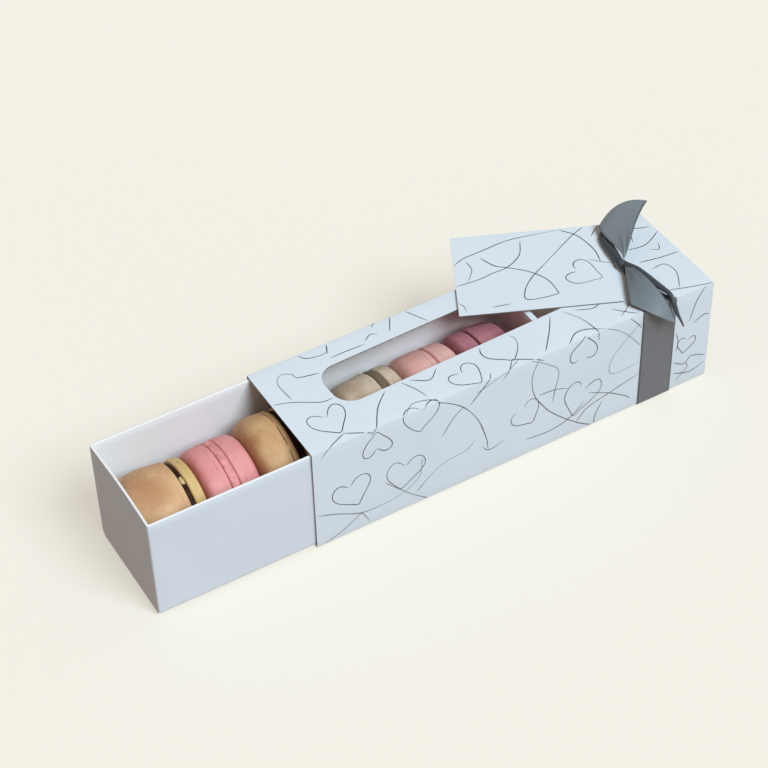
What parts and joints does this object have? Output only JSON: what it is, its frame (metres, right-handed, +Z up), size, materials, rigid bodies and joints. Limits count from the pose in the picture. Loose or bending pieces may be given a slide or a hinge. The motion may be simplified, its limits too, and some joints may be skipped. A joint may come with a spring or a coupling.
{
  "type": "sleeve box of filled cookies",
  "caption": "Printed card sleeve box with a window, a ribbon and a tag card, and a sliding card tray of round filled cookies that stands part of the way out.",
  "frame": {"origin": "middle of the whole object's bounding box, at its base", "axes": "+X runs down the sleeve from the pulled-out tray towards the ribbon, +Y goes to the side that the tag card overhangs, +Z is up"},
  "size_m": [0.2758, 0.0922, 0.0756],
  "materials": {
    "printed_card": "smooth coated card, pale blue-white",
    "print_ink": "thin dark grey printed line",
    "white_card": "smooth uncoated white card",
    "ribbon": "satin weave, slate grey",
    "shell_tan": "baked, matte, fine crazed skin",
    "shell_gold": "baked, matte, fine crazed skin",
    "shell_pink": "baked, matte, fine crazed skin",
    "shell_brown": "baked, matte, fine crazed skin",
    "shell_cream": "baked, matte, fine crazed skin",
    "shell_rose": "baked, matte, fine crazed skin",
    "shell_dark_rose": "baked, matte, fine crazed skin",
    "filling_dark_brown": "smooth soft cream, satin",
    "filling_pink": "smooth soft cream, satin",
    "filling_grey_brown": "smooth soft cream, satin",
    "filling_dark_rose": "smooth soft cream, satin"
  },
  "bodies": {
    "sleeve_body": {"sleeve": "printed_card", "ribbon_band": "ribbon", "ribbon_knot": "ribbon", "ribbon_tail_far": "ribbon", "ribbon_tail_near": "ribbon", "tag_card": "printed_card"},
    "tray_body": {"tray": "white_card", "cookie_1_left_shell": "shell_tan", "cookie_1_filling": "filling_dark_brown", "cookie_1_right_shell": "shell_gold", "cookie_2_left_shell": "shell_pink", "cookie_2_filling": "filling_pink", "cookie_2_right_shell": "shell_pink", "cookie_3_left_shell": "shell_brown", "cookie_3_filling": "filling_dark_brown", "cookie_3_right_shell": "shell_brown", "cookie_4_left_shell": "shell_tan", "cookie_4_filling": "filling_dark_brown", "cookie_4_right_shell": "shell_tan", "cookie_5_left_shell": "shell_cream", "cookie_5_filling": "filling_grey_brown", "cookie_5_right_shell": "shell_cream", "cookie_6_left_shell": "shell_rose", "cookie_6_filling": "filling_pink", "cookie_6_right_shell": "shell_rose", "cookie_7_left_shell": "shell_dark_rose", "cookie_7_filling": "filling_dark_rose", "cookie_7_right_shell": "shell_dark_rose"}
  },
  "joints": [
    {"name": "tray_slide", "type": "slide", "parent": "sleeve_body", "child": "tray_body", "axis": [-1, 0, 0], "range_m": [-0.0739, 0.1]}
  ]
}
